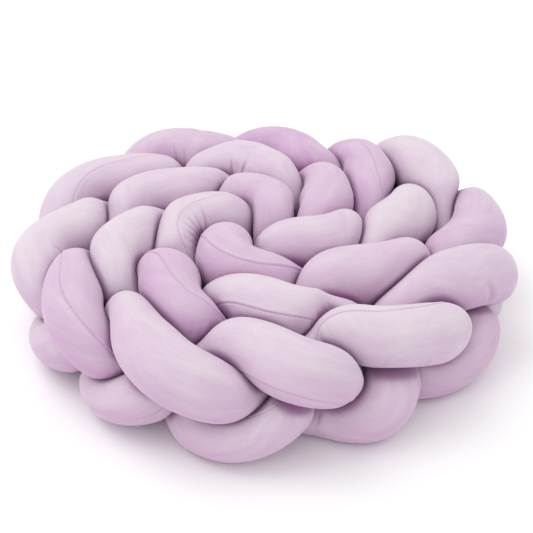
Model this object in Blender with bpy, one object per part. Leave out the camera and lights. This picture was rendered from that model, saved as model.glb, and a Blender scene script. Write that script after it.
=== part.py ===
"""Braided crib bumper, standing on its edge and coiled up.

Three long rolls of velvet, each sewn into a tube and stuffed, are plaited into
one flat braid. The braid stands on its edge and is wound from the middle
outwards, counter-clockwise seen from above, a little over two turns. Each roll
is one closed, filled solid. Where rolls press on each other they flatten to a
shared face, and the undersides lie flat on z = 0.

Metres, +Z up. The footprint is centred on the Z axis.
"""
import math

import bpy
import numpy as np
from mathutils import Vector
from mathutils.bvhtree import BVHTree

# ---- driving sizes ---------------------------------------------------------
ROLL_D = 0.080                  # across one stuffed roll
ROLL_R = ROLL_D / 2
ROLLS = 3                       # rolls in the plait
LOW_Z = 0.445 * ROLL_D          # roll's middle where it runs along the floor
SIDE_SWING = 0.33 * ROLL_D      # how far a roll passes in front and behind
PLATEAU = 0.25                  # how much lobes stay up, and down, before they cross
GAP = 0.0003                    # least gap between rolls that press together
FLOOR_SNAP = 0.0008             # corners this near the floor lie on it
PRESS_GAP = 0.0008              # gap that they are shaped for
FAVOUR = 0.6                    # how much a roll on top keeps its shape, and presses into the rest
HOLD = 3.2                      # how firmly the stuffing fills out the cloth
SWELL_MOST = 1.08               # how far a squeezed roll swells where it has room

# ---- the coil --------------------------------------------------------------
# One row for each lobe that a roll makes over the top of the braid, in order
# from the inner end. bearing_deg is counted on from turn to turn, from +X
# towards +Y. reach is the distance from the coil's middle and rise the height
# of the roll's middle line, both in roll widths. girth is a share of the width.
LOBES = (
    # lobe, bearing_deg, reach, rise, girth, swing
    (-1, 15, 0.30, 1.50, 1.00, 1.00),
    (0, 80, 0.88, 1.52, 1.00, 1.00),
    (1, 161, 1.05, 1.56, 1.00, 1.00),
    (2, 239, 1.01, 1.55, 1.00, 1.00),
    (3, 336, 0.95, 1.58, 1.00, 1.00),
    (4, 403, 1.45, 1.52, 1.00, 1.00),
    (5, 452, 2.18, 1.56, 1.00, 1.00),
    (6, 498, 2.05, 1.50, 1.00, 1.00),
    (7, 552, 2.22, 1.54, 1.00, 1.00),
    (8, 592, 2.20, 1.56, 1.00, 1.00),
    (9, 633, 2.12, 1.53, 1.00, 1.00),
    (10, 681, 2.00, 1.57, 1.00, 1.00),
    (11, 730, 2.18, 1.45, 1.00, 1.00),
    (12, 769, 2.90, 1.44, 1.03, 1.00),
    (13, 796, 2.94, 1.42, 1.00, 1.00),
    (14, 832, 3.30, 1.44, 1.00, 1.00),
    (15, 862, 3.24, 1.43, 1.00, 1.00),
    (16, 898, 3.20, 1.38, 1.00, 1.00),
    (17, 928, 3.08, 1.48, 0.97, 0.60),
    (18, 959, 3.04, 1.45, 0.94, 1.00),
    (19, 993.5, 3.07, 1.45, 0.93, 1.00),
    (20, 1018.5, 2.87, 1.49, 0.86, 1.00),
    (21, 1060, 3.15, 1.44, 0.98, 1.00),
    (22, 1082, 3.39, 1.29, 0.98, 0.70),
    (23, 1121, 3.70, 1.56, 1.00, 0.30),
    (24, 1145, 3.80, 0.80, 1.00, 0.30),
)
# Where the rolls run low in the outer turn they are pushed about underneath.
LOWS = (
    # place in lobes, bearing_shift_deg, reach_shift, girth_shift
    (8, 0, 0.00, 0.00),
    (12, 0, -0.12, 0.00),
    (15.5, 0, -0.12, 0.00),
    (16.5, -1, 0.03, 0.00),
    (17.5, -4, -0.16, 0.04),
    (18.5, -5.5, -0.12, 0.06),
    (19.5, 8, 0.02, 0.18),
    (20.5, -1, -0.11, 0.12),
    (21.5, 0, -0.16, 0.05),
    (24, 0, -0.05, 0.00),
)
FIRST_LOBE = -0.6               # where the rolls begin, in lobes
LAST_LOBE = 23.7                # where they end

# ---- mesh ------------------------------------------------------------------
RINGS = 190                     # along a roll
END_RINGS = (0.0125, 0.06, 0.25)    # rings at the rounded ends, in roll radii
SIDES = 15                      # around a roll
AXIS_STEP = 0.02                # lobes between the points of a fine axis
OWN_REACH = 1.5                 # lobes within which a roll ignores itself
CHUNK = 1.5                     # lobes in a stretch of the fitting pass
TURNS = 60                      # places around a ring where its shape is worked out
SETTLE_ROUNDS = 500
AROUND_SHARE = 0.10             # how fast a ring gives way, around itself
ALONG_REACH = 0.0005            # and along the roll, in metres a round
FIT_ROUNDS = 20
DRAW_BACK = 0.8                 # share of a crossing that each roll gives way

# node: material
VELVETS = {
    "roll_a": "velvet_a",
    "roll_b": "velvet_b",
    "roll_c": "velvet_c",
}
LILAC = (0.66, 0.50, 0.67, 1.0)


def through_rows(rows, column, u):
    """A smooth curve through one column of the lobe table."""
    at = np.array([row[0] for row in rows], float)
    value = np.array([row[column] for row in rows], float)
    slope = np.gradient(value, at)
    u = np.clip(u, at[0], at[-1])
    i = np.clip(np.searchsorted(at, u) - 1, 0, len(at) - 2)
    h = at[i + 1] - at[i]
    t = (u - at[i]) / h
    return ((2 * t**3 - 3 * t**2 + 1) * value[i]
            + (t**3 - 2 * t**2 + t) * h * slope[i]
            + (3 * t**2 - 2 * t**3) * value[i + 1]
            + (t**3 - t**2) * h * slope[i + 1])


def up_and_down(roll, u):
    """How far a roll is towards the top, and its shifts where it is low."""
    swing = np.cos(2 * np.pi * (u - roll) / ROLLS)
    high = (1.0 + swing * (1.0 + PLATEAU * (1.0 - swing ** 2))) / 2
    lowest = roll + ROLLS * (np.round((u - roll) / ROLLS - 0.5) + 0.5)
    shifts = [through_rows(LOWS, column, lowest) * (1.0 - high) ** 2 for column in (1, 2, 3)]
    return high, shifts


def roll_axis(roll, u):
    """Middle line of one roll: points, and the way outwards at each."""
    high, (turned, drawn, _) = up_and_down(roll, u)
    bearing = np.radians(through_rows(LOBES, 1, u) + turned)
    side = SIDE_SWING * through_rows(LOBES, 5, u) * np.sin(4 * np.pi * (u - roll) / ROLLS)
    reach = (through_rows(LOBES, 2, u) + drawn) * ROLL_D + side
    rise = through_rows(LOBES, 3, u) * ROLL_D
    out = np.stack([np.cos(bearing), np.sin(bearing), 0 * u], -1)
    points = out * reach[:, None]
    points[:, 2] = LOW_Z + (rise - LOW_Z) * high
    return points, out


def roll_girth(roll, u):
    _, (_, _, fuller) = up_and_down(roll, u)
    return through_rows(LOBES, 4, u) + fuller


def end_dome(run, length):
    """How wide the roll is beside its rounded ends, as a share of its full width."""
    end = np.minimum(run, length - run) / ROLL_R
    return np.sqrt(1.0 - (1.0 - np.clip(end, 0.0, 1.0)) ** 2)


def with_favour(roll, u):
    """Points of the middle line, and how strongly the roll holds its shape at each."""
    points, _ = roll_axis(roll, u)
    high, _ = up_and_down(roll, u)
    run = np.concatenate([[0.0], np.cumsum(np.linalg.norm(np.diff(points, axis=0), axis=1))])
    favour = ROLL_R ** 2 * (FAVOUR * high + end_dome(run, run[-1]) ** 2)
    return np.column_stack([points, favour])


def unit(vectors):
    return vectors / np.linalg.norm(vectors, axis=-1, keepdims=True)


def ring_places(roll):
    """Lobe values of a roll's rings, evenly spaced along its length."""
    fine = np.arange(FIRST_LOBE, LAST_LOBE + AXIS_STEP / 2, AXIS_STEP)
    points, _ = roll_axis(roll, fine)
    run = np.concatenate([[0.0], np.cumsum(np.linalg.norm(np.diff(points, axis=0), axis=1))])
    # A few rings crowd together where the ends round off.
    length = run[-1]
    near = ROLL_R * np.array(END_RINGS)
    even = np.linspace(0.0, length, RINGS - 2 * len(END_RINGS) + 2)[1:-1]
    places = np.sort(np.concatenate([near, even, length - near]))
    return np.interp(places, run, fine), places, length


def room(centres, ways, others):
    """How far each ring may reach each way before it meets a neighbour half-way."""
    limit = np.full(ways.shape[:2], 1.0)
    for i, centre in enumerate(centres):
        step = others[i][:, :3] - centre[:3]
        far = np.linalg.norm(step, axis=1)
        keep = far < 2.6 * ROLL_R
        if not keep.any():
            continue
        step, far, favoured = step[keep], far[keep], centre[3] - others[i][keep, 3]
        facing = ways[i] @ (step / far[:, None]).T
        share = (far - PRESS_GAP) / 2 + favoured / (2 * far)
        reach = np.where(facing > 0.05, share / np.maximum(facing, 0.05), 1.0)
        limit[i] = reach.min(axis=1)
    # The floor.
    down = np.minimum(ways[:, :, 2], -0.05)
    limit = np.minimum(limit, np.where(ways[:, :, 2] < -0.05, centres[:, 2:3] / -down, 1.0))
    return np.maximum(limit, 0.15 * ROLL_R)


def settled(limit, plain, spacing):
    """Shapes of the rings of a stuffed tube that is pressed on from several sides.

    The cloth of a ring keeps its length. Where nothing touches it, it lies in a
    round arc that runs smoothly into the pressed faces beside it.
    """
    step = 2 * np.pi / TURNS
    cloth = 2 * np.pi * plain
    most = np.minimum(limit, SWELL_MOST * plain)
    radii = np.minimum(plain, limit)
    along = np.minimum((ALONG_REACH / spacing) ** 2, 0.2)
    for _ in range(SETTLE_ROUNDS):
        before, after = np.roll(radii, 1, axis=1), np.roll(radii, -1, axis=1)
        slope = (after - before) / (2 * step)
        second = (after - 2 * radii + before) / step ** 2
        length = np.sqrt(radii ** 2 + slope ** 2)
        bow = (radii ** 2 + 2 * slope ** 2 - radii * second) / length ** 3
        slack = (cloth - length.sum(axis=1, keepdims=True) * step) / (2 * np.pi)
        press = (1.0 + HOLD * slack / plain) / plain
        radii = radii + AROUND_SHARE * (length * step) ** 2 * (press - bow) * length / radii
        radii[1:-1] += along * (radii[:-2] - 2 * radii[1:-1] + radii[2:])
        radii = np.clip(radii, 0.1 * plain, most)
    return radii


class Roll:
    """One stuffed roll, as rings of radii about its middle line."""

    def __init__(self, roll, axes):
        self.lobe, along, length = ring_places(roll)
        fine, own = axes[roll]
        centres, out = roll_axis(roll, self.lobe)
        middle = np.column_stack([centres, np.interp(self.lobe, fine, own[:, 3])])
        ahead, _ = roll_axis(roll, self.lobe + 0.01)
        behind, _ = roll_axis(roll, self.lobe - 0.01)
        run = unit(ahead - behind)
        side = unit(out - run * np.sum(out * run, axis=1, keepdims=True))
        up = np.cross(run, side)
        turn = 2 * np.pi * np.arange(TURNS) / TURNS
        ways = (np.cos(turn)[None, :, None] * side[:, None, :]
                + np.sin(turn)[None, :, None] * up[:, None, :])
        others = []
        for lobe in self.lobe:
            seen = [points for k, (_, points) in enumerate(axes) if k != roll]
            seen.append(own[np.abs(fine - lobe) > OWN_REACH])
            others.append(np.concatenate(seen))
        plain = (ROLL_R * roll_girth(roll, self.lobe))[:, None]
        spacing = np.gradient(along)[1:-1, None]
        shape = settled(room(middle, ways, others), plain, spacing)
        # The ends are gathered to a point in the middle of what the roll has room for.
        dome = end_dome(along, length)[:, None]
        gathered = centres + (ways * shape[:, :, None]).mean(axis=1)
        self.centres = gathered + (centres - gathered) * dome
        corners = np.arange(3, TURNS, TURNS // SIDES)
        self.ways, self.radii = ways[:, corners], (shape * dome)[:, corners].copy("C")
        tip = ROLL_R * END_RINGS[0]
        self.tips = (self.centres[0] - run[0] * tip, self.centres[-1] + run[-1] * tip)

    def points(self):
        rings = self.centres[:, None, :] + self.ways * self.radii[:, :, None]
        points = np.concatenate([rings.reshape(-1, 3), np.array(self.tips)])
        points[:, 2] = np.where(points[:, 2] < FLOOR_SNAP, 0.0, points[:, 2])
        return points

    def faces(self):
        """Triangles, with the ring that each starts from."""
        count = len(self.lobe)
        first_tip, last_tip = count * SIDES, count * SIDES + 1
        triangles, ring_of = [], []
        for s in range(SIDES):
            n = (s + 1) % SIDES
            triangles.append((first_tip, n, s))
            ring_of.append(0)
            last = (count - 1) * SIDES
            triangles.append((last_tip, last + s, last + n))
            ring_of.append(count - 1)
        for i in range(count - 1):
            for s in range(SIDES):
                n = (s + 1) % SIDES
                a, b = i * SIDES + s, i * SIDES + n
                c, d = a + SIDES, b + SIDES
                triangles.extend([(a, b, d), (a, d, c)])
                ring_of.extend([i, i])
        return np.array(triangles), np.array(ring_of)


def spots_on(points, triangles):
    """Corners, edge middles and face middles, each with its corner indices."""
    corners = points[triangles]
    spots, owners = [corners.mean(axis=1)], [triangles]
    for a, b in ((0, 1), (1, 2), (2, 0)):
        spots.append((corners[:, a] + corners[:, b]) / 2)
        owners.append(np.stack([triangles[:, a], triangles[:, b], triangles[:, a]], -1))
    spots.append(points)
    owners.append(np.repeat(np.arange(len(points))[:, None], 3, axis=1))
    return np.concatenate(spots), np.concatenate(owners)


def tree_of(points, triangles):
    return BVHTree.FromPolygons(points.tolist(), triangles.tolist(), all_triangles=True)


def crowd(push, tree, spots, owners):
    """Note how far each spot's corners must draw back to clear a tree."""
    for spot, owner in zip(spots, owners):
        place = Vector(spot)
        near, normal, _, distance = tree.find_nearest(place, ROLL_R / 2)
        if near is None:
            continue
        need = GAP - distance if (place - near).dot(normal) > 0 else GAP + distance
        if need > GAP / 20:
            push[owner] = np.maximum(push[owner], need)


def press_apart(rolls):
    """Draw rolls back wherever their facets still cross, until none do."""
    faces = [roll.faces() for roll in rolls]
    for _ in range(FIT_ROUNDS):
        points = [roll.points() for roll in rolls]
        trees = [tree_of(points[k], faces[k][0]) for k in range(ROLLS)]
        crowded = 0
        for k, roll in enumerate(rolls):
            triangles, ring_of = faces[k]
            push = np.zeros(len(points[k]))
            spots, owners = spots_on(points[k], triangles)
            for other in range(ROLLS):
                if other == k:
                    continue
                crowd(push, trees[other], spots, owners)
                for mine, _ in trees[k].overlap(trees[other]):
                    push[triangles[mine]] = np.maximum(push[triangles[mine]], GAP)
            # The same roll one turn further in or out.
            lobe_of_face = roll.lobe[ring_of]
            lobe_of_point = np.append(np.repeat(roll.lobe, SIDES), roll.lobe[[0, -1]])
            lobe_of_spot = lobe_of_point[owners[:, 0]]
            for start in np.arange(FIRST_LOBE, LAST_LOBE, CHUNK):
                here = (lobe_of_spot >= start) & (lobe_of_spot < start + CHUNK)
                away = np.abs(lobe_of_face - start - CHUNK / 2) > OWN_REACH + CHUNK / 2
                crowd(push, tree_of(points[k], triangles[away]), spots[here], owners[here])
            crowded += int((push > 0).sum())
            radii = roll.radii.reshape(-1)
            radii -= np.minimum(push[:len(radii)] * DRAW_BACK, radii * 0.5)
        if crowded == 0:
            break


def velvet(name):
    material = bpy.data.materials.new(name)
    material.use_nodes = True
    shader = material.node_tree.nodes["Principled BSDF"]
    shader.inputs["Base Color"].default_value = LILAC
    shader.inputs["Roughness"].default_value = 0.9
    shader.inputs["Metallic"].default_value = 0.0
    return material


def main():
    for thing in list(bpy.data.objects):
        bpy.data.objects.remove(thing, do_unlink=True)
    collection = bpy.data.collections.new("braided_crib_bumper")
    bpy.context.scene.collection.children.link(collection)

    fine = np.arange(FIRST_LOBE, LAST_LOBE, AXIS_STEP)
    axes = [(fine, with_favour(k, fine)) for k in range(ROLLS)]
    rolls = [Roll(k, axes) for k in range(ROLLS)]
    press_apart(rolls)

    every = np.concatenate([roll.points() for roll in rolls])
    middle = (every.min(axis=0) + every.max(axis=0)) / 2
    middle[2] = 0.0
    for (name, material), roll in zip(VELVETS.items(), rolls):
        mesh = bpy.data.meshes.new(name)
        mesh.from_pydata((roll.points() - middle).tolist(), [], roll.faces()[0].tolist())
        mesh.update()
        mesh.materials.append(velvet(material))
        collection.objects.link(bpy.data.objects.new(name, mesh))


main()
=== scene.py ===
"""Looks of the braided crib bumper: three stuffed velvet rolls, plaited, stood on edge and coiled.

Each roll is rebuilt finely on the same middle line as its CAD solid, pressed
against its neighbours, creased where it bends sharply, and given a sewn seam
and a short velvet pile.
"""
import math

import bpy
import numpy as np
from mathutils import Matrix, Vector


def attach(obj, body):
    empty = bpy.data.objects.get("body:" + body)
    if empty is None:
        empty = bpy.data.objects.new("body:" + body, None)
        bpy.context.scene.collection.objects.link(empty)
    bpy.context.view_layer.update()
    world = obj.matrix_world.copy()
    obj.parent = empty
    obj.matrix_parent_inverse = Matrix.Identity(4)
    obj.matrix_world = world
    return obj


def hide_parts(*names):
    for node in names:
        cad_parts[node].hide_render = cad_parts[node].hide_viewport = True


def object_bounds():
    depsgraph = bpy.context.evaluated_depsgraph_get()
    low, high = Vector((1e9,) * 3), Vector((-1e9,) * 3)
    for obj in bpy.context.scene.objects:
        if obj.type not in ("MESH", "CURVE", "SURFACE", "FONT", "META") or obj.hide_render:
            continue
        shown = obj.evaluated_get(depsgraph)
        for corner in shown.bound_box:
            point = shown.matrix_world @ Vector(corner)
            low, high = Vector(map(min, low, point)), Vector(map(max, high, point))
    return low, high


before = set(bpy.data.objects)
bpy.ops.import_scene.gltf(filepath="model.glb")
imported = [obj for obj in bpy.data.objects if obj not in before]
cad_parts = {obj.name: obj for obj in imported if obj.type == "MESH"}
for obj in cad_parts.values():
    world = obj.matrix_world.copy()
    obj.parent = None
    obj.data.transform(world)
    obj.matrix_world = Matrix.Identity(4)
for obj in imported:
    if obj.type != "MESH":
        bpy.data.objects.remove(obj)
CAD_BOX = [list(corner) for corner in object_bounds()]

# ---- sizes of the braid, in metres -------------------------------------------
ROLL_D = 0.080              # across one stuffed roll
ROLL_R = ROLL_D / 2
ROLLS = 3                   # rolls in the plait
LOW_Z = 0.445 * ROLL_D      # roll's middle where it runs along the floor
SIDE_SWING = 0.33 * ROLL_D  # how far a roll passes in front and behind
PLATEAU = 0.25              # how much the lobes stay up and down before they cross
PRESS_GAP = 0.0005          # between rolls that press together

# The lobes on top, in order along the coil. Reach and rise are in roll widths.
LOBES = (
    # lobe, bearing_deg, reach, rise, girth, swing, nap (-1 brushed dark, 1 brushed pale)
    (-1, 15, 0.30, 1.50, 1.00, 1.00, 0.0),
    (0, 80, 0.88, 1.52, 1.00, 1.00, -0.3),
    (1, 161, 1.05, 1.56, 1.00, 1.00, 0.5),
    (2, 239, 1.01, 1.55, 1.00, 1.00, -0.5),
    (3, 336, 0.95, 1.58, 1.00, 1.00, 0.2),
    (4, 403, 1.45, 1.52, 1.00, 1.00, -0.4),
    (5, 452, 2.18, 1.56, 1.00, 1.00, 0.4),
    (6, 498, 2.05, 1.50, 1.00, 1.00, 0.3),
    (7, 552, 2.22, 1.54, 1.00, 1.00, 0.8),
    (8, 592, 2.20, 1.56, 1.00, 1.00, -0.6),
    (9, 633, 2.12, 1.53, 1.00, 1.00, 0.6),
    (10, 681, 2.00, 1.57, 1.00, 1.00, 0.0),
    (11, 730, 2.18, 1.45, 1.00, 1.00, 0.9),
    (12, 769, 2.90, 1.44, 1.03, 1.00, -0.6),
    (13, 796, 2.94, 1.42, 1.00, 1.00, -1.0),
    (14, 832, 3.30, 1.44, 1.00, 1.00, -0.2),
    (15, 862, 3.24, 1.43, 1.00, 1.00, 0.4),
    (16, 898, 3.20, 1.38, 1.00, 1.00, 0.7),
    (17, 928, 3.08, 1.48, 0.97, 0.60, -0.3),
    (18, 959, 3.04, 1.45, 0.94, 1.00, 0.3),
    (19, 993.5, 3.07, 1.45, 0.93, 1.00, 0.4),
    (20, 1018.5, 2.87, 1.49, 0.86, 1.00, 0.8),
    (21, 1060, 3.15, 1.44, 0.98, 1.00, 0.2),
    (22, 1082, 3.39, 1.29, 0.98, 0.70, -0.3),
    (23, 1121, 3.70, 1.56, 1.00, 0.30, 0.7),
    (24, 1145, 3.80, 0.80, 1.00, 0.30, 0.0),
)
# Where the rolls run low in the outer turn they are pushed about underneath.
LOWS = (
    # place in lobes, bearing_shift_deg, reach_shift, girth_shift
    (8, 0, 0.00, 0.00),
    (12, 0, -0.12, 0.00),
    (15.5, 0, -0.12, 0.00),
    (16.5, -1, 0.03, 0.00),
    (17.5, -4, -0.16, 0.04),
    (18.5, -5.5, -0.12, 0.06),
    (19.5, 8, 0.02, 0.18),
    (20.5, -1, -0.11, 0.12),
    (21.5, 0, -0.16, 0.05),
    (24, 0, -0.05, 0.00),
)
FIRST_LOBE = -0.6           # where the rolls begin, in lobes
LAST_LOBE = 23.7            # where they end

# ---- fineness of the rolls ---------------------------------------------------
RINGS = 1100                # along a roll
SIDES = 72                  # around it
AXIS_STEP = 0.02            # lobes between the points of a fine middle line
DIRECTION_STEP = 0.01       # lobes ahead and behind that give a roll's direction
TIP_INSET = 0.0001          # the first and last rings' distance from the tips, in metres
END_STRETCH = 0.6 * ROLL_R  # rings crowd together over this length at each end
END_CROWDING = 3.0
SEAM_COLUMNS = (0.0, 0.0007, 0.0014, 0.0023, 0.0035, 0.0052, 0.0076)    # to each side of the seam

# ---- how the rolls press on each other ---------------------------------------
NEIGHBOUR_REACH = 2.6 * ROLL_R  # middle lines farther off than this don't matter
OWN_REACH = 1.5             # lobes within which a roll ignores itself
FACING = 0.05               # ways that face a neighbour less than this pass it by
OPEN_REACH = 1.0            # reach of a way that meets nothing
LEAST = 0.04                # a pinched roll keeps this share of its half width
MOST = 1.08                 # how far a squeezed roll swells where it has room
LIMITS_MOST = 1.4 * MOST * ROLL_R   # limits beyond this are all the same to it
FAVOUR = 0.6                # how much a roll on top keeps its shape, and presses into the rest
END_GIVES = 0.6             # how much of its room a roll's outer end leaves to the others
TURNS = 60                  # places around a ring where its shape is worked out
SETTLE_ROUNDS = 500
HOLD = 3.2                  # how firmly the stuffing fills out the cloth
AROUND_SHARE = 0.10         # how fast a ring gives way around itself in a round
ALONG_SHARE = 0.02          # and how much it takes after the rings beside it

# ---- creases on the inside of sharp bends ------------------------------------
# Each runs up the roll's side from the neighbour that presses into the bend, and dies out.
CREASES = (
    # roll, place and turn_deg at the shallow end, at the deep end, depth, width (metres)
    (1, 1.46, 84, 1.56, 118, 0.0016, 0.0016),
    (1, 1.40, 90, 1.50, 124, 0.0024, 0.0017),
    (1, 1.33, 90, 1.44, 130, 0.0030, 0.0018),
    (1, 1.26, 94, 1.37, 134, 0.0034, 0.0018),
    (1, 1.19, 98, 1.28, 140, 0.0034, 0.0019),
    (1, 1.12, 100, 1.17, 146, 0.0036, 0.0020),
    (1, 1.02, 100, 1.05, 152, 0.0034, 0.0020),
    (2, 5.30, 132, 5.28, 165, 0.0020, 0.0018),
    (2, 5.15, 122, 5.10, 165, 0.0048, 0.0022),
    (2, 4.99, 116, 4.98, 165, 0.0052, 0.0022),
    (2, 4.90, 136, 4.90, 165, 0.0016, 0.0018),
    (2, 14.16, 116, 14.11, 158, 0.0026, 0.0018),
    (2, 14.06, 120, 14.02, 160, 0.0020, 0.0017),
    (1, 16.33, 100, 16.40, 128, 0.0024, 0.0015),
    (1, 16.40, 96, 16.47, 126, 0.0020, 0.0015),
    (0, 21.06, 28, 21.12, -10, 0.0040, 0.0030),
    (0, 0.35, 100, 0.42, 140, 0.0018, 0.0016),
    (2, 20.30, -2, 20.32, -30, 0.0014, 0.0020),
    (2, 20.15, 0, 20.14, -30, 0.0014, 0.0020),
)
CREASE_RINGS = 3.0          # how much closer the rings stand there
CREASE_NEAR = 0.35          # lobes to each side that a crease can touch
CREASE_EDGE = 1.7           # how steep its sides are
CREASE_RIDGE = 0.3          # height of the ridge beside it, as a share of its depth
RIDGE_AWAY = 2.0            # and its distance, in crease widths

# ---- the seam along each roll ------------------------------------------------
SEAM_GROOVE = 0.0007        # depth of the sewn line
GROOVE_WIDTH = 0.0009
SEAM_LEDGE = 0.0006         # the folded-in edges lift the cloth on one side of it
LEDGE_AWAY = 0.0025
LEDGE_WIDTH = 0.0022
SEWN_WIDTH = 0.0012         # of the line that the stitches darken
# Where the seam lies around each roll: 0 outwards, 90 on top, 180 towards the middle.
SEAMS = (
    # place in lobes, turn_deg
    ((-0.6, 280), (0, 280), (3, 300), (6, 340), (8.6, 400), (9, 403), (9.5, 410), (12, 448),
     (14.6, 448), (15, 461), (15.5, 472), (18, 550), (21, 580), (23.7, 560)),
    ((-0.6, 60), (1, 98), (1.4, 95), (4, 20), (7, -40), (10, -70), (13, -60), (16, -50),
     (18.6, -12), (19, 4), (19.2, -3), (19.4, -10), (19.6, -8), (20, -20), (22, -60), (23.7, -60)),
    ((-0.6, 30), (1.7, 50), (2, 61), (2.5, 78), (4.5, 92), (5, 70), (5.5, 62), (7.6, 80),
     (8, 92), (8.5, 98), (11, 160), (13.6, 92), (14, 84), (14.4, 80), (16.6, 60), (17, 66),
     (17.25, 62), (17.5, 62), (17.7, 52), (18.3, 50), (18.6, 62), (19.4, 30), (20, 84), (20.5, 88),
     (23, 10), (23.7, 0)),
)

# ---- velvet ------------------------------------------------------------------
DEEP = (0.50, 0.235, 0.49, 1)       # colour where the pile stands up, and where painted shade deepens faces turned down
PALE = (0.69, 0.60, 0.67, 1)        # where it lies away, and where painted light from above pales faces turned up
CREVICE_SHADE_COLOUR = (0.26, 0.09, 0.25, 1)      # painted shade where the rolls press together
SEWN = (0.42, 0.20, 0.38, 1)        # at the stitches
PAINTED_TOP_LIGHT = 1.0                 # how much paler the cloth is painted where it faces up, and deeper where it faces down: painted light from above
PALENESS_SHARE = 0.26            # how much each of these shifts the cloth towards pale or deep
PATCH_SHARE = 0.18
STREAK_SHARE = 0.05
PILE_SHARE = 0.07
PATCH = (0.050, 0.022, 3.0)         # size along the roll, size around it (metres), detail
STREAK = (0.011, 0.0026, 2.0)
PILE = (0.0011, 0.0007, 1.0)
CREVICE_SHADE_REACH = 0.007                # painted shade darkens the cloth this near a pressed face
CREVICE_SHADE_SHARE = 0.75
STITCH_PITCH = 0.0036
STITCH_SHARE = 0.22         # how much the stitches darken the sewn line
LINE_SHARE = 0.12           # and how dark it is between them
SHEEN = 0.5
SHEEN_ROUGHNESS = 0.4
SHEEN_TINT = (1.0, 0.95, 0.98, 1)
GLOSS = 0.1
ROUGHNESS = 0.88
PATCH_ROUGHNESS = 0.06
STREAK_HEIGHT = 0.6         # heights in the bump, the pile's being 1
STITCH_HEIGHT = -2.0
BUMP = 0.5
BUMP_HEIGHT = 0.00015

# ---- floor, light and camera -------------------------------------------------
FLOOR_SIZE = 12.0
FLOOR_COLOUR = (0.97, 0.97, 0.97, 1)
FLOOR_ROUGHNESS = 0.9
STUDIO_STRENGTH = 0.97
LAMP_PLACE = (-1.2, 0.2, 2.7)
LAMP_TOWARDS = (0, 0, 0.08)
LAMP_SIZE = 2.4
LAMP_POWER = 27
VIEW_DOWN = math.radians(33.0)      # how far down the camera looks
VIEW_FAR = 16.0 * ROLL_D
VIEW_LENS = 65.9
VIEW_SENSOR = 36.0
AIM_SHIFT = (0.0066, -0.0013, 1.0 * ROLL_D)


def eased(value, start, end):
    """0 before start, 1 after end, with a soft change between."""
    t = np.clip((value - start) / (end - start), 0.0, 1.0)
    return t * t * (3.0 - 2.0 * t)


def unit(vectors):
    return vectors / np.linalg.norm(vectors, axis=-1, keepdims=True)


def length_along(points):
    """How far each point of a line is from its first one."""
    steps = np.linalg.norm(np.diff(points, axis=0), axis=1)
    return np.concatenate([[0.0], np.cumsum(steps)])


def through_rows(rows, column, u):
    """A smooth curve through one column of a table, by its first column."""
    at = np.array([row[0] for row in rows], float)
    value = np.array([row[column] for row in rows], float)
    slope = np.gradient(value, at)
    u = np.clip(u, at[0], at[-1])
    i = np.clip(np.searchsorted(at, u) - 1, 0, len(at) - 2)
    h = at[i + 1] - at[i]
    t = (u - at[i]) / h
    return ((2 * t**3 - 3 * t**2 + 1) * value[i]
            + (t**3 - 2 * t**2 + t) * h * slope[i]
            + (3 * t**2 - 2 * t**3) * value[i + 1]
            + (t**3 - t**2) * h * slope[i + 1])


def up_and_down(roll, u):
    """How far a roll is towards the top, and its shifts where it is low."""
    swing = np.cos(2 * np.pi * (u - roll) / ROLLS)
    high = (1.0 + swing * (1.0 + PLATEAU * (1.0 - swing ** 2))) / 2
    lowest = roll + ROLLS * (np.round((u - roll) / ROLLS - 0.5) + 0.5)
    shifts = [through_rows(LOWS, column, lowest) * (1.0 - high) ** 2 for column in (1, 2, 3)]
    return high, shifts


def roll_axis(roll, u):
    """Middle line of one roll: points, and the way outwards at each."""
    high, (turned, drawn, _) = up_and_down(roll, u)
    bearing = np.radians(through_rows(LOBES, 1, u) + turned)
    side = SIDE_SWING * through_rows(LOBES, 5, u) * np.sin(4 * np.pi * (u - roll) / ROLLS)
    reach = (through_rows(LOBES, 2, u) + drawn) * ROLL_D + side
    rise = through_rows(LOBES, 3, u) * ROLL_D
    out = np.stack([np.cos(bearing), np.sin(bearing), 0 * u], -1)
    points = out * reach[:, None]
    points[:, 2] = LOW_Z + (rise - LOW_Z) * high
    return points, out


def roll_nap(roll, u):
    """Which way the pile is brushed: it changes between a roll's own lobes."""
    own = [row for row in LOBES if (row[0] - roll) % ROLLS == 0]
    at = np.array([row[0] for row in own], float)
    i = np.clip(np.searchsorted(at, u) - 1, 0, len(at) - 2)
    part = eased(u, at[i], at[i + 1])
    paleness = np.array([row[6] for row in own])
    return paleness[i] * (1.0 - part) + paleness[i + 1] * part


def roll_girth(roll, u):
    """Size of a roll, as a share of its usual one."""
    _, (_, _, fuller) = up_and_down(roll, u)
    return through_rows(LOBES, 4, u) + fuller


def room(centres, ways, lobes, roll, fine, axes):
    """How far each ring may reach each way before it meets a neighbour half-way."""
    limit = np.full(ways.shape[:2], OPEN_REACH)
    for i, centre in enumerate(centres):
        for k, points in enumerate(axes):
            seen = points if k != roll else points[np.abs(fine - lobes[i]) > OWN_REACH]
            step = seen[:, :3] - centre[:3]
            far = np.linalg.norm(step, axis=1)
            keep = far < NEIGHBOUR_REACH
            if not keep.any():
                continue
            step, far, favoured = step[keep], far[keep], centre[3] - seen[keep, 3]
            facing = ways[i] @ (step / far[:, None]).T
            share = (far - PRESS_GAP) / 2 + favoured / (2 * far)
            reach = np.where(facing > FACING, share / np.maximum(facing, FACING), OPEN_REACH)
            limit[i] = np.minimum(limit[i], reach.min(axis=1))
    # The floor.
    down = -ways[:, :, 2]
    to_floor = centres[:, 2:3] / np.maximum(down, FACING)
    limit = np.minimum(limit, np.where(down > FACING, to_floor, OPEN_REACH))
    return np.maximum(limit, LEAST * ROLL_R)


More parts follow.
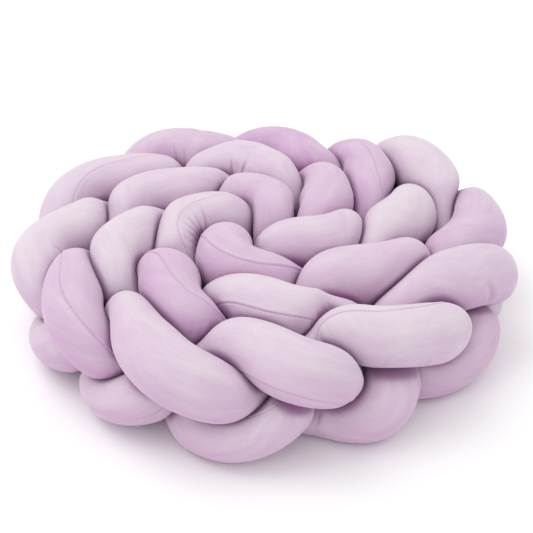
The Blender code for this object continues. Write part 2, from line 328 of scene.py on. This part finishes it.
def rounded_end(from_tip):
    """How wide a roll is this far from its tip, as a share of its full width."""
    return np.sqrt(1.0 - (1.0 - np.clip(from_tip / ROLL_R, 0.0, 1.0)) ** 2)


def with_favour(roll, u):
    """Points of the middle line, and how strongly the roll holds its shape at each."""
    points, _ = roll_axis(roll, u)
    high, _ = up_and_down(roll, u)
    run = length_along(points)
    # Its outer end leaves room to the rolls beside it as it rounds off.
    left = 1.0 - END_GIVES * (1.0 - rounded_end(run[-1] - run) ** 2)
    favour = ROLL_R ** 2 * (FAVOUR * high + left)
    return np.column_stack([points, favour])


def settled(limit, plain):
    """Shapes of the rings of a stuffed tube that is pressed on from several sides.

    The cloth of a ring keeps its length. Where nothing touches it, it lies in a
    round arc that runs smoothly into the pressed faces beside it.
    """
    step = 2 * np.pi / TURNS
    cloth = 2 * np.pi * plain
    radii = np.minimum(plain * np.ones_like(limit), limit)
    for _ in range(SETTLE_ROUNDS):
        before, after = np.roll(radii, 1, axis=1), np.roll(radii, -1, axis=1)
        slope = (after - before) / (2 * step)
        second = (after - 2 * radii + before) / step ** 2
        length = np.sqrt(radii ** 2 + slope ** 2)
        bow = (radii ** 2 + 2 * slope ** 2 - radii * second) / length ** 3
        slack = (cloth - length.sum(axis=1, keepdims=True) * step) / (2 * np.pi)
        press = (1.0 + HOLD * slack / plain) / plain
        radii = radii + AROUND_SHARE * (length * step) ** 2 * (press - bow) * length / radii
        radii[1:-1] += ALONG_SHARE * (radii[:-2] - 2 * radii[1:-1] + radii[2:])
        radii = np.clip(radii, LEAST * plain, np.minimum(limit, MOST * plain))
    return radii


def around_ring(values, turn):
    """Values at any turns, from those at even turns, by a smooth curve."""
    at = (turn / (2 * np.pi) * TURNS) % TURNS
    i = np.floor(at).astype(int)
    t = at - i
    ring = np.arange(len(values))[:, None]
    a, b, c, d = (values[ring, (i + k) % TURNS] for k in (-1, 0, 1, 2))
    return (b + 0.5 * t * (c - a + t * (2 * a - 5 * b + 4 * c - d + t * (3 * (b - c) + d - a))))


def creases(roll, lobes, along, turn):
    """How deep the creases of a roll are at each point, with low ridges between them."""
    deep = np.zeros(turn.shape)
    for owner, from_place, from_turn, to_place, to_turn, depth, width in CREASES:
        if owner != roll:
            continue
        near = np.abs(lobes - (from_place + to_place) / 2) < CREASE_NEAR
        middle = (from_turn + to_turn) / 2
        angle = (np.degrees(turn[near]) - middle + 180) % 360 - 180 + middle
        up_to = (angle - from_turn) / (to_turn - from_turn)
        line = from_place + (to_place - from_place) * np.clip(up_to, 0.0, 1.0)
        away = np.abs(along[near, None] - np.interp(line, lobes, along)) / width
        shape = np.exp(-away ** CREASE_EDGE) - CREASE_RIDGE * np.exp(-(away - RIDGE_AWAY) ** 2)
        fading = eased(up_to, 0.0, 0.8) * (1.0 - eased(up_to, 1.3, 1.7))
        deep[near] += depth * fading * shape
    return deep


def ring_places(run, density):
    """Places of the rings along a roll, closer together where density is higher."""
    length = run[-1]
    inwards = np.minimum(np.minimum(run, length - run) / END_STRETCH, 1.0)
    density = density * (1.0 + END_CROWDING * (1.0 - inwards) ** 2)
    count = np.concatenate([[0.0], np.cumsum((density[1:] + density[:-1]) / 2 * np.diff(run))])
    along = np.interp(np.linspace(0.0, count[-1], RINGS), count, run)
    along[0], along[-1] = TIP_INSET, length - TIP_INSET
    return along


def sides_from_seam():
    """Turns of a ring's points from the seam, close together beside it."""
    near = np.array(SEAM_COLUMNS) / ROLL_R
    rest = np.linspace(near[-1], 2 * np.pi - near[-1], SIDES - 2 * len(near) + 3)[1:-1]
    return np.concatenate([near, rest, 2 * np.pi - near[:0:-1]])


def ring_frames(roll, lobes):
    """Middle of each ring, and its ways outwards and up."""
    centres, out = roll_axis(roll, lobes)
    ahead, _ = roll_axis(roll, lobes + DIRECTION_STEP)
    behind, _ = roll_axis(roll, lobes - DIRECTION_STEP)
    run = unit(ahead - behind)
    side = unit(out - run * np.sum(out * run, axis=1, keepdims=True))
    return centres, side, np.cross(side, run)


def ways_of(turn, side, up):
    """Ways out from the middle line at each turn of each ring."""
    return np.cos(turn)[:, :, None] * side[:, None, :] + np.sin(turn)[:, :, None] * up[:, None, :]


def roll_points(roll, axes, fine):
    """Rings of one roll, and what its mesh and material need to know at each point."""
    run = length_along(axes[roll][:, :3])
    density = np.ones(len(fine))
    for owner, from_place, _, to_place, _, _, _ in CREASES:
        if owner == roll:
            beyond = np.abs(fine - (from_place + to_place) / 2) - np.abs(to_place - from_place) / 2
            density = np.maximum(density, 1.0 + (CREASE_RINGS - 1.0) * eased(beyond, 0.16, 0.08))
    along = ring_places(run, density)
    lobes = np.interp(along, run, fine)
    centres, side, up = ring_frames(roll, lobes)
    seam = np.radians(through_rows(SEAMS[roll], 1, lobes))
    turn = seam[:, None] + sides_from_seam()[None, :]
    even = np.broadcast_to(2 * np.pi * np.arange(TURNS) / TURNS, (len(lobes), TURNS))

    favour = np.interp(lobes, fine, axes[roll][:, 3])
    middle_line = np.column_stack([centres, favour])
    limit = room(middle_line, ways_of(even, side, up), lobes, roll, fine, axes)
    plain = (ROLL_R * roll_girth(roll, lobes))[:, None]
    radii = around_ring(settled(limit, plain), turn)
    ways = ways_of(turn, side, up)
    dome = rounded_end(np.minimum(along, run[-1] - along))[:, None]
    whole = dome ** 2
    radii = radii - creases(roll, lobes, along, turn) * whole

    # The seam: a narrow groove, with the cloth a little raised on one side of it.
    from_seam = sides_from_seam() * ROLL_R
    from_seam = np.where(from_seam > np.pi * ROLL_R, from_seam - 2 * np.pi * ROLL_R, from_seam)
    groove = SEAM_GROOVE * np.exp(-(from_seam / GROOVE_WIDTH) ** 2)
    ledge = SEAM_LEDGE * np.exp(-((from_seam - LEDGE_AWAY) / LEDGE_WIDTH) ** 2) * (from_seam > 0)
    radii = radii + (ledge - groove)[None, :] * whole
    limits = around_ring(np.minimum(limit, LIMITS_MOST), turn)
    radii = np.minimum(radii, limits)

    rings = centres[:, None, :] + ways * radii[:, :, None]
    # The ends are gathered to a point in the middle of what the roll has room for.
    gathered = rings.mean(axis=1, keepdims=True)
    rings = gathered + (rings - gathered) * dome[:, :, None]
    rings[:, :, 2] = np.maximum(rings[:, :, 2], 0.0)
    # For the material: how near each point is to the sewn line, and to what it is pressed on, which
    # gets painted shade.
    sewn = np.broadcast_to(np.exp(-(from_seam / SEWN_WIDTH) ** 2), radii.shape)
    painted_crevice_shade = eased(limits - radii, CREVICE_SHADE_REACH, 0.0) * eased(dome, 0.8, 1.0)
    return rings, along, radii, lobes, sewn, painted_crevice_shade


def painted_light_from_above(rings):
    """1 where the cloth faces up, -1 where it faces down: how far painted light from above pales it
    or painted shade deepens it.
    """
    along = np.gradient(rings, axis=0)
    around = np.roll(rings, -1, axis=1) - np.roll(rings, 1, axis=1)
    return unit(np.cross(along, around))[:, :, 2]


def roll_mesh(name, rings, along, radii, marks, place):
    """One closed roll, with its cloth laid out flat as a UV map and its marks on the points."""
    count = len(rings)
    points = rings.reshape(-1, 3) + place
    tips = np.stack([rings[0].mean(axis=0), rings[-1].mean(axis=0)]) + place
    points = np.concatenate([points, tips])
    i = np.arange(count - 1)[:, None] * SIDES
    s = np.arange(SIDES)[None, :]
    n = (s + 1) % SIDES
    quads = np.stack([i + n, i + s, i + SIDES + s, i + SIDES + n], -1).reshape(-1, 4)
    last = (count - 1) * SIDES
    caps = []
    for k in range(SIDES):
        m = (k + 1) % SIDES
        caps.append((count * SIDES, k, m))
        caps.append((count * SIDES + 1, last + m, last + k))
    mesh = bpy.data.meshes.new(name)
    loops = np.concatenate([quads.reshape(-1), np.array(caps).reshape(-1)])
    starts = np.concatenate([np.arange(len(quads)) * 4, len(quads) * 4 + np.arange(len(caps)) * 3])
    mesh.vertices.add(len(points))
    mesh.vertices.foreach_set("co", points.reshape(-1).astype(np.float32))
    mesh.loops.add(len(loops))
    mesh.loops.foreach_set("vertex_index", loops.astype(np.int32))
    mesh.polygons.add(len(starts))
    mesh.polygons.foreach_set("loop_start", starts.astype(np.int32))
    # Along the roll and around it from the seam, both in metres.
    width = np.diff(np.append(sides_from_seam(), 2 * np.pi))
    around = np.cumsum(np.concatenate([np.zeros((count, 1)), radii * width], axis=1), axis=1)
    along_grid = np.broadcast_to(along[:, None], (count, SIDES + 1))
    grid = np.stack([along_grid, around], -1)
    r = np.arange(count - 1)[:, None]
    uv = np.stack([grid[r, s + 1], grid[r, s], grid[r + 1, s], grid[r + 1, s + 1]], 2).reshape(-1, 2)
    cap_uv = np.zeros((len(caps) * 3, 2))
    layer = mesh.uv_layers.new(name="cloth")
    layer.data.foreach_set("uv", np.concatenate([uv, cap_uv]).reshape(-1).astype(np.float32))
    for mark, values in marks.items():
        values = np.append(values.reshape(-1), [values[0].mean(), values[-1].mean()])
        attribute = mesh.attributes.new(mark, "FLOAT", "POINT")
        attribute.data.foreach_set("value", values.astype(np.float32))
    mesh.update(calc_edges=True)
    mesh.validate()
    mesh.shade_smooth()
    piece = bpy.data.objects.new(name, mesh)
    bpy.context.scene.collection.objects.link(piece)
    return piece


def velvet(name, seed):
    """Short-pile velvet: pale or dark as the pile is brushed, with painted light from above, painted
    shade where the rolls press together, a sheen and a sewn line.
    """
    material = bpy.data.materials.new(name)
    material.use_nodes = True
    nodes, links = material.node_tree.nodes, material.node_tree.links
    shader = nodes["Principled BSDF"]
    shader.inputs["Sheen Weight"].default_value = SHEEN
    shader.inputs["Sheen Roughness"].default_value = SHEEN_ROUGHNESS
    shader.inputs["Sheen Tint"].default_value = SHEEN_TINT
    shader.inputs["Specular IOR Level"].default_value = GLOSS

    def node(kind, **settings):
        made = nodes.new("ShaderNode" + kind)
        for key, value in settings.items():
            setattr(made, key, value)
        return made

    def plug(value, socket):
        if isinstance(value, (int, float)):
            socket.default_value = value
        else:
            links.new(value, socket)

    def math_node(operation, *values):
        made = node("Math", operation=operation)
        for value, socket in zip(values, made.inputs):
            plug(value, socket)
        return made.outputs[0]

    def mark(attribute):
        return node("Attribute", attribute_name=attribute).outputs["Fac"]

    cloth = node("UVMap", uv_map="cloth").outputs[0]

    def noise(size_along, size_around, detail):
        """Noise from -1 to 1 with grains of the given size on the cloth, in metres."""
        spread = node("Mapping")
        spread.inputs["Scale"].default_value = (1 / size_along, 1 / size_around, 1)
        spread.inputs["Location"].default_value = (seed * 7.3, seed * 3.1, 0)
        links.new(cloth, spread.inputs["Vector"])
        texture = node("TexNoise", noise_dimensions="2D")
        texture.inputs["Scale"].default_value = 1.0
        texture.inputs["Detail"].default_value = detail
        texture.inputs["Roughness"].default_value = 0.6
        links.new(spread.outputs[0], texture.inputs["Vector"])
        return math_node("MULTIPLY_ADD", texture.outputs["Fac"], 3.0, -1.5)

    patches = noise(*PATCH)
    streaks = noise(*STREAK)
    pile = noise(*PILE)

    # Puckers of the stitches along the sewn line.
    run = node("SeparateXYZ")
    links.new(cloth, run.inputs[0])
    wave = math_node("SINE", math_node("MULTIPLY", run.outputs["X"], 2 * math.pi / STITCH_PITCH))
    stitch = math_node("MULTIPLY", math_node("MULTIPLY_ADD", wave, 0.5, 0.5), mark("sewn"))

    # Paleness holds the pile's brushing per lobe and painted light from above: faces turned up are
    # painted paler, faces turned down deeper.
    towards_pale = math_node("MULTIPLY_ADD", mark("paleness"), PALENESS_SHARE, 0.5)
    towards_pale = math_node("MULTIPLY_ADD", patches, PATCH_SHARE, towards_pale)
    towards_pale = math_node("MULTIPLY_ADD", streaks, STREAK_SHARE, towards_pale)
    towards_pale = math_node("MULTIPLY_ADD", pile, PILE_SHARE, towards_pale)
    colour = node("Mix", data_type="RGBA", clamp_factor=True)
    links.new(towards_pale, colour.inputs["Factor"])
    colour.inputs["A"].default_value = DEEP
    colour.inputs["B"].default_value = PALE
    # Painted shade: the cloth darkens to a deep purple where the rolls press together.
    painted_crevice_shade = node("Mix", data_type="RGBA", clamp_factor=True)
    links.new(math_node("MULTIPLY", mark("painted_crevice_shade"), CREVICE_SHADE_SHARE), painted_crevice_shade.inputs["Factor"])
    links.new(colour.outputs["Result"], painted_crevice_shade.inputs["A"])
    painted_crevice_shade.inputs["B"].default_value = CREVICE_SHADE_COLOUR
    sewn = node("Mix", data_type="RGBA", clamp_factor=True)
    line = math_node("MULTIPLY", mark("sewn"), LINE_SHARE)
    links.new(math_node("MULTIPLY_ADD", stitch, STITCH_SHARE, line), sewn.inputs["Factor"])
    links.new(painted_crevice_shade.outputs["Result"], sewn.inputs["A"])
    sewn.inputs["B"].default_value = SEWN
    links.new(sewn.outputs["Result"], shader.inputs["Base Color"])

    roughness = math_node("MULTIPLY_ADD", patches, PATCH_ROUGHNESS, ROUGHNESS)
    links.new(roughness, shader.inputs["Roughness"])
    height = math_node("MULTIPLY_ADD", streaks, STREAK_HEIGHT, pile)
    height = math_node("MULTIPLY_ADD", stitch, STITCH_HEIGHT, height)
    bump = node("Bump")
    bump.inputs["Strength"].default_value = BUMP
    bump.inputs["Distance"].default_value = BUMP_HEIGHT
    links.new(height, bump.inputs["Height"])
    links.new(bump.outputs[0], shader.inputs["Normal"])
    return material


def area_light(name, place, towards, size, power):
    """A round, soft lamp."""
    data = bpy.data.lights.new(name, "AREA")
    data.shape = "DISK"
    data.size = size
    data.energy = power
    lamp = bpy.data.objects.new(name, data)
    bpy.context.scene.collection.objects.link(lamp)
    lamp.location = place
    lamp.rotation_euler = (Vector(towards) - Vector(place)).to_track_quat("-Z", "Y").to_euler()


# ---- the three rolls ---------------------------------------------------------
fine = np.arange(FIRST_LOBE, LAST_LOBE + AXIS_STEP / 2, AXIS_STEP)
axes = [with_favour(k, fine) for k in range(ROLLS)]
made = [roll_points(k, axes, fine) for k in range(ROLLS)]
every = np.concatenate([roll[0].reshape(-1, 3) for roll in made])
# The coil stands where its CAD solids do.
own_middle = (every.min(axis=0) + every.max(axis=0)) / 2
cad_middle = (np.array(CAD_BOX[0]) + np.array(CAD_BOX[1])) / 2
place = cad_middle - own_middle
place[2] = 0.0

for k, letter in enumerate("abc"):
    rings, along, radii, lobes, sewn, painted_crevice_shade = made[k]
    # Paleness: the pile's brushing per lobe, plus painted light from above on faces turned up and
    # painted shade on faces turned down.
    paleness = roll_nap(k, lobes)[:, None] + PAINTED_TOP_LIGHT * painted_light_from_above(rings)
    marks = {"paleness": paleness, "sewn": sewn, "painted_crevice_shade": painted_crevice_shade}
    piece = roll_mesh("velvet_roll_" + letter, rings, along, radii, marks, place)
    piece.data.materials.append(velvet("lilac_velvet_" + letter, k))
    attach(piece, "root")
    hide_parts("roll_" + letter)

# ---- the stage ---------------------------------------------------------------
bpy.ops.mesh.primitive_plane_add(size=FLOOR_SIZE, location=(0, 0, 0))
floor = bpy.context.object
floor.name = "floor"
pale = bpy.data.materials.new("pale_floor")
pale.use_nodes = True
pale.node_tree.nodes["Principled BSDF"].inputs["Base Color"].default_value = FLOOR_COLOUR
pale.node_tree.nodes["Principled BSDF"].inputs["Roughness"].default_value = FLOOR_ROUGHNESS
floor.data.materials.append(pale)

world = bpy.data.worlds.new("studio")
world.use_nodes = True
world.node_tree.nodes["Background"].inputs["Color"].default_value = (1, 1, 1, 1)
world.node_tree.nodes["Background"].inputs["Strength"].default_value = STUDIO_STRENGTH
bpy.context.scene.world = world

area_light("overhead", LAMP_PLACE, LAMP_TOWARDS, LAMP_SIZE, LAMP_POWER)

aim = Vector(place) + Vector(AIM_SHIFT)
camera_data = bpy.data.cameras.new("camera")
camera_data.lens = VIEW_LENS
camera_data.sensor_width = VIEW_SENSOR
camera = bpy.data.objects.new("camera", camera_data)
bpy.context.scene.collection.objects.link(camera)
camera.location = aim + VIEW_FAR * Vector((0, -math.cos(VIEW_DOWN), math.sin(VIEW_DOWN)))
camera.rotation_euler = (aim - camera.location).to_track_quat("-Z", "Y").to_euler()
bpy.context.scene.camera = camera
bpy.context.scene.view_settings.view_transform = "Standard"
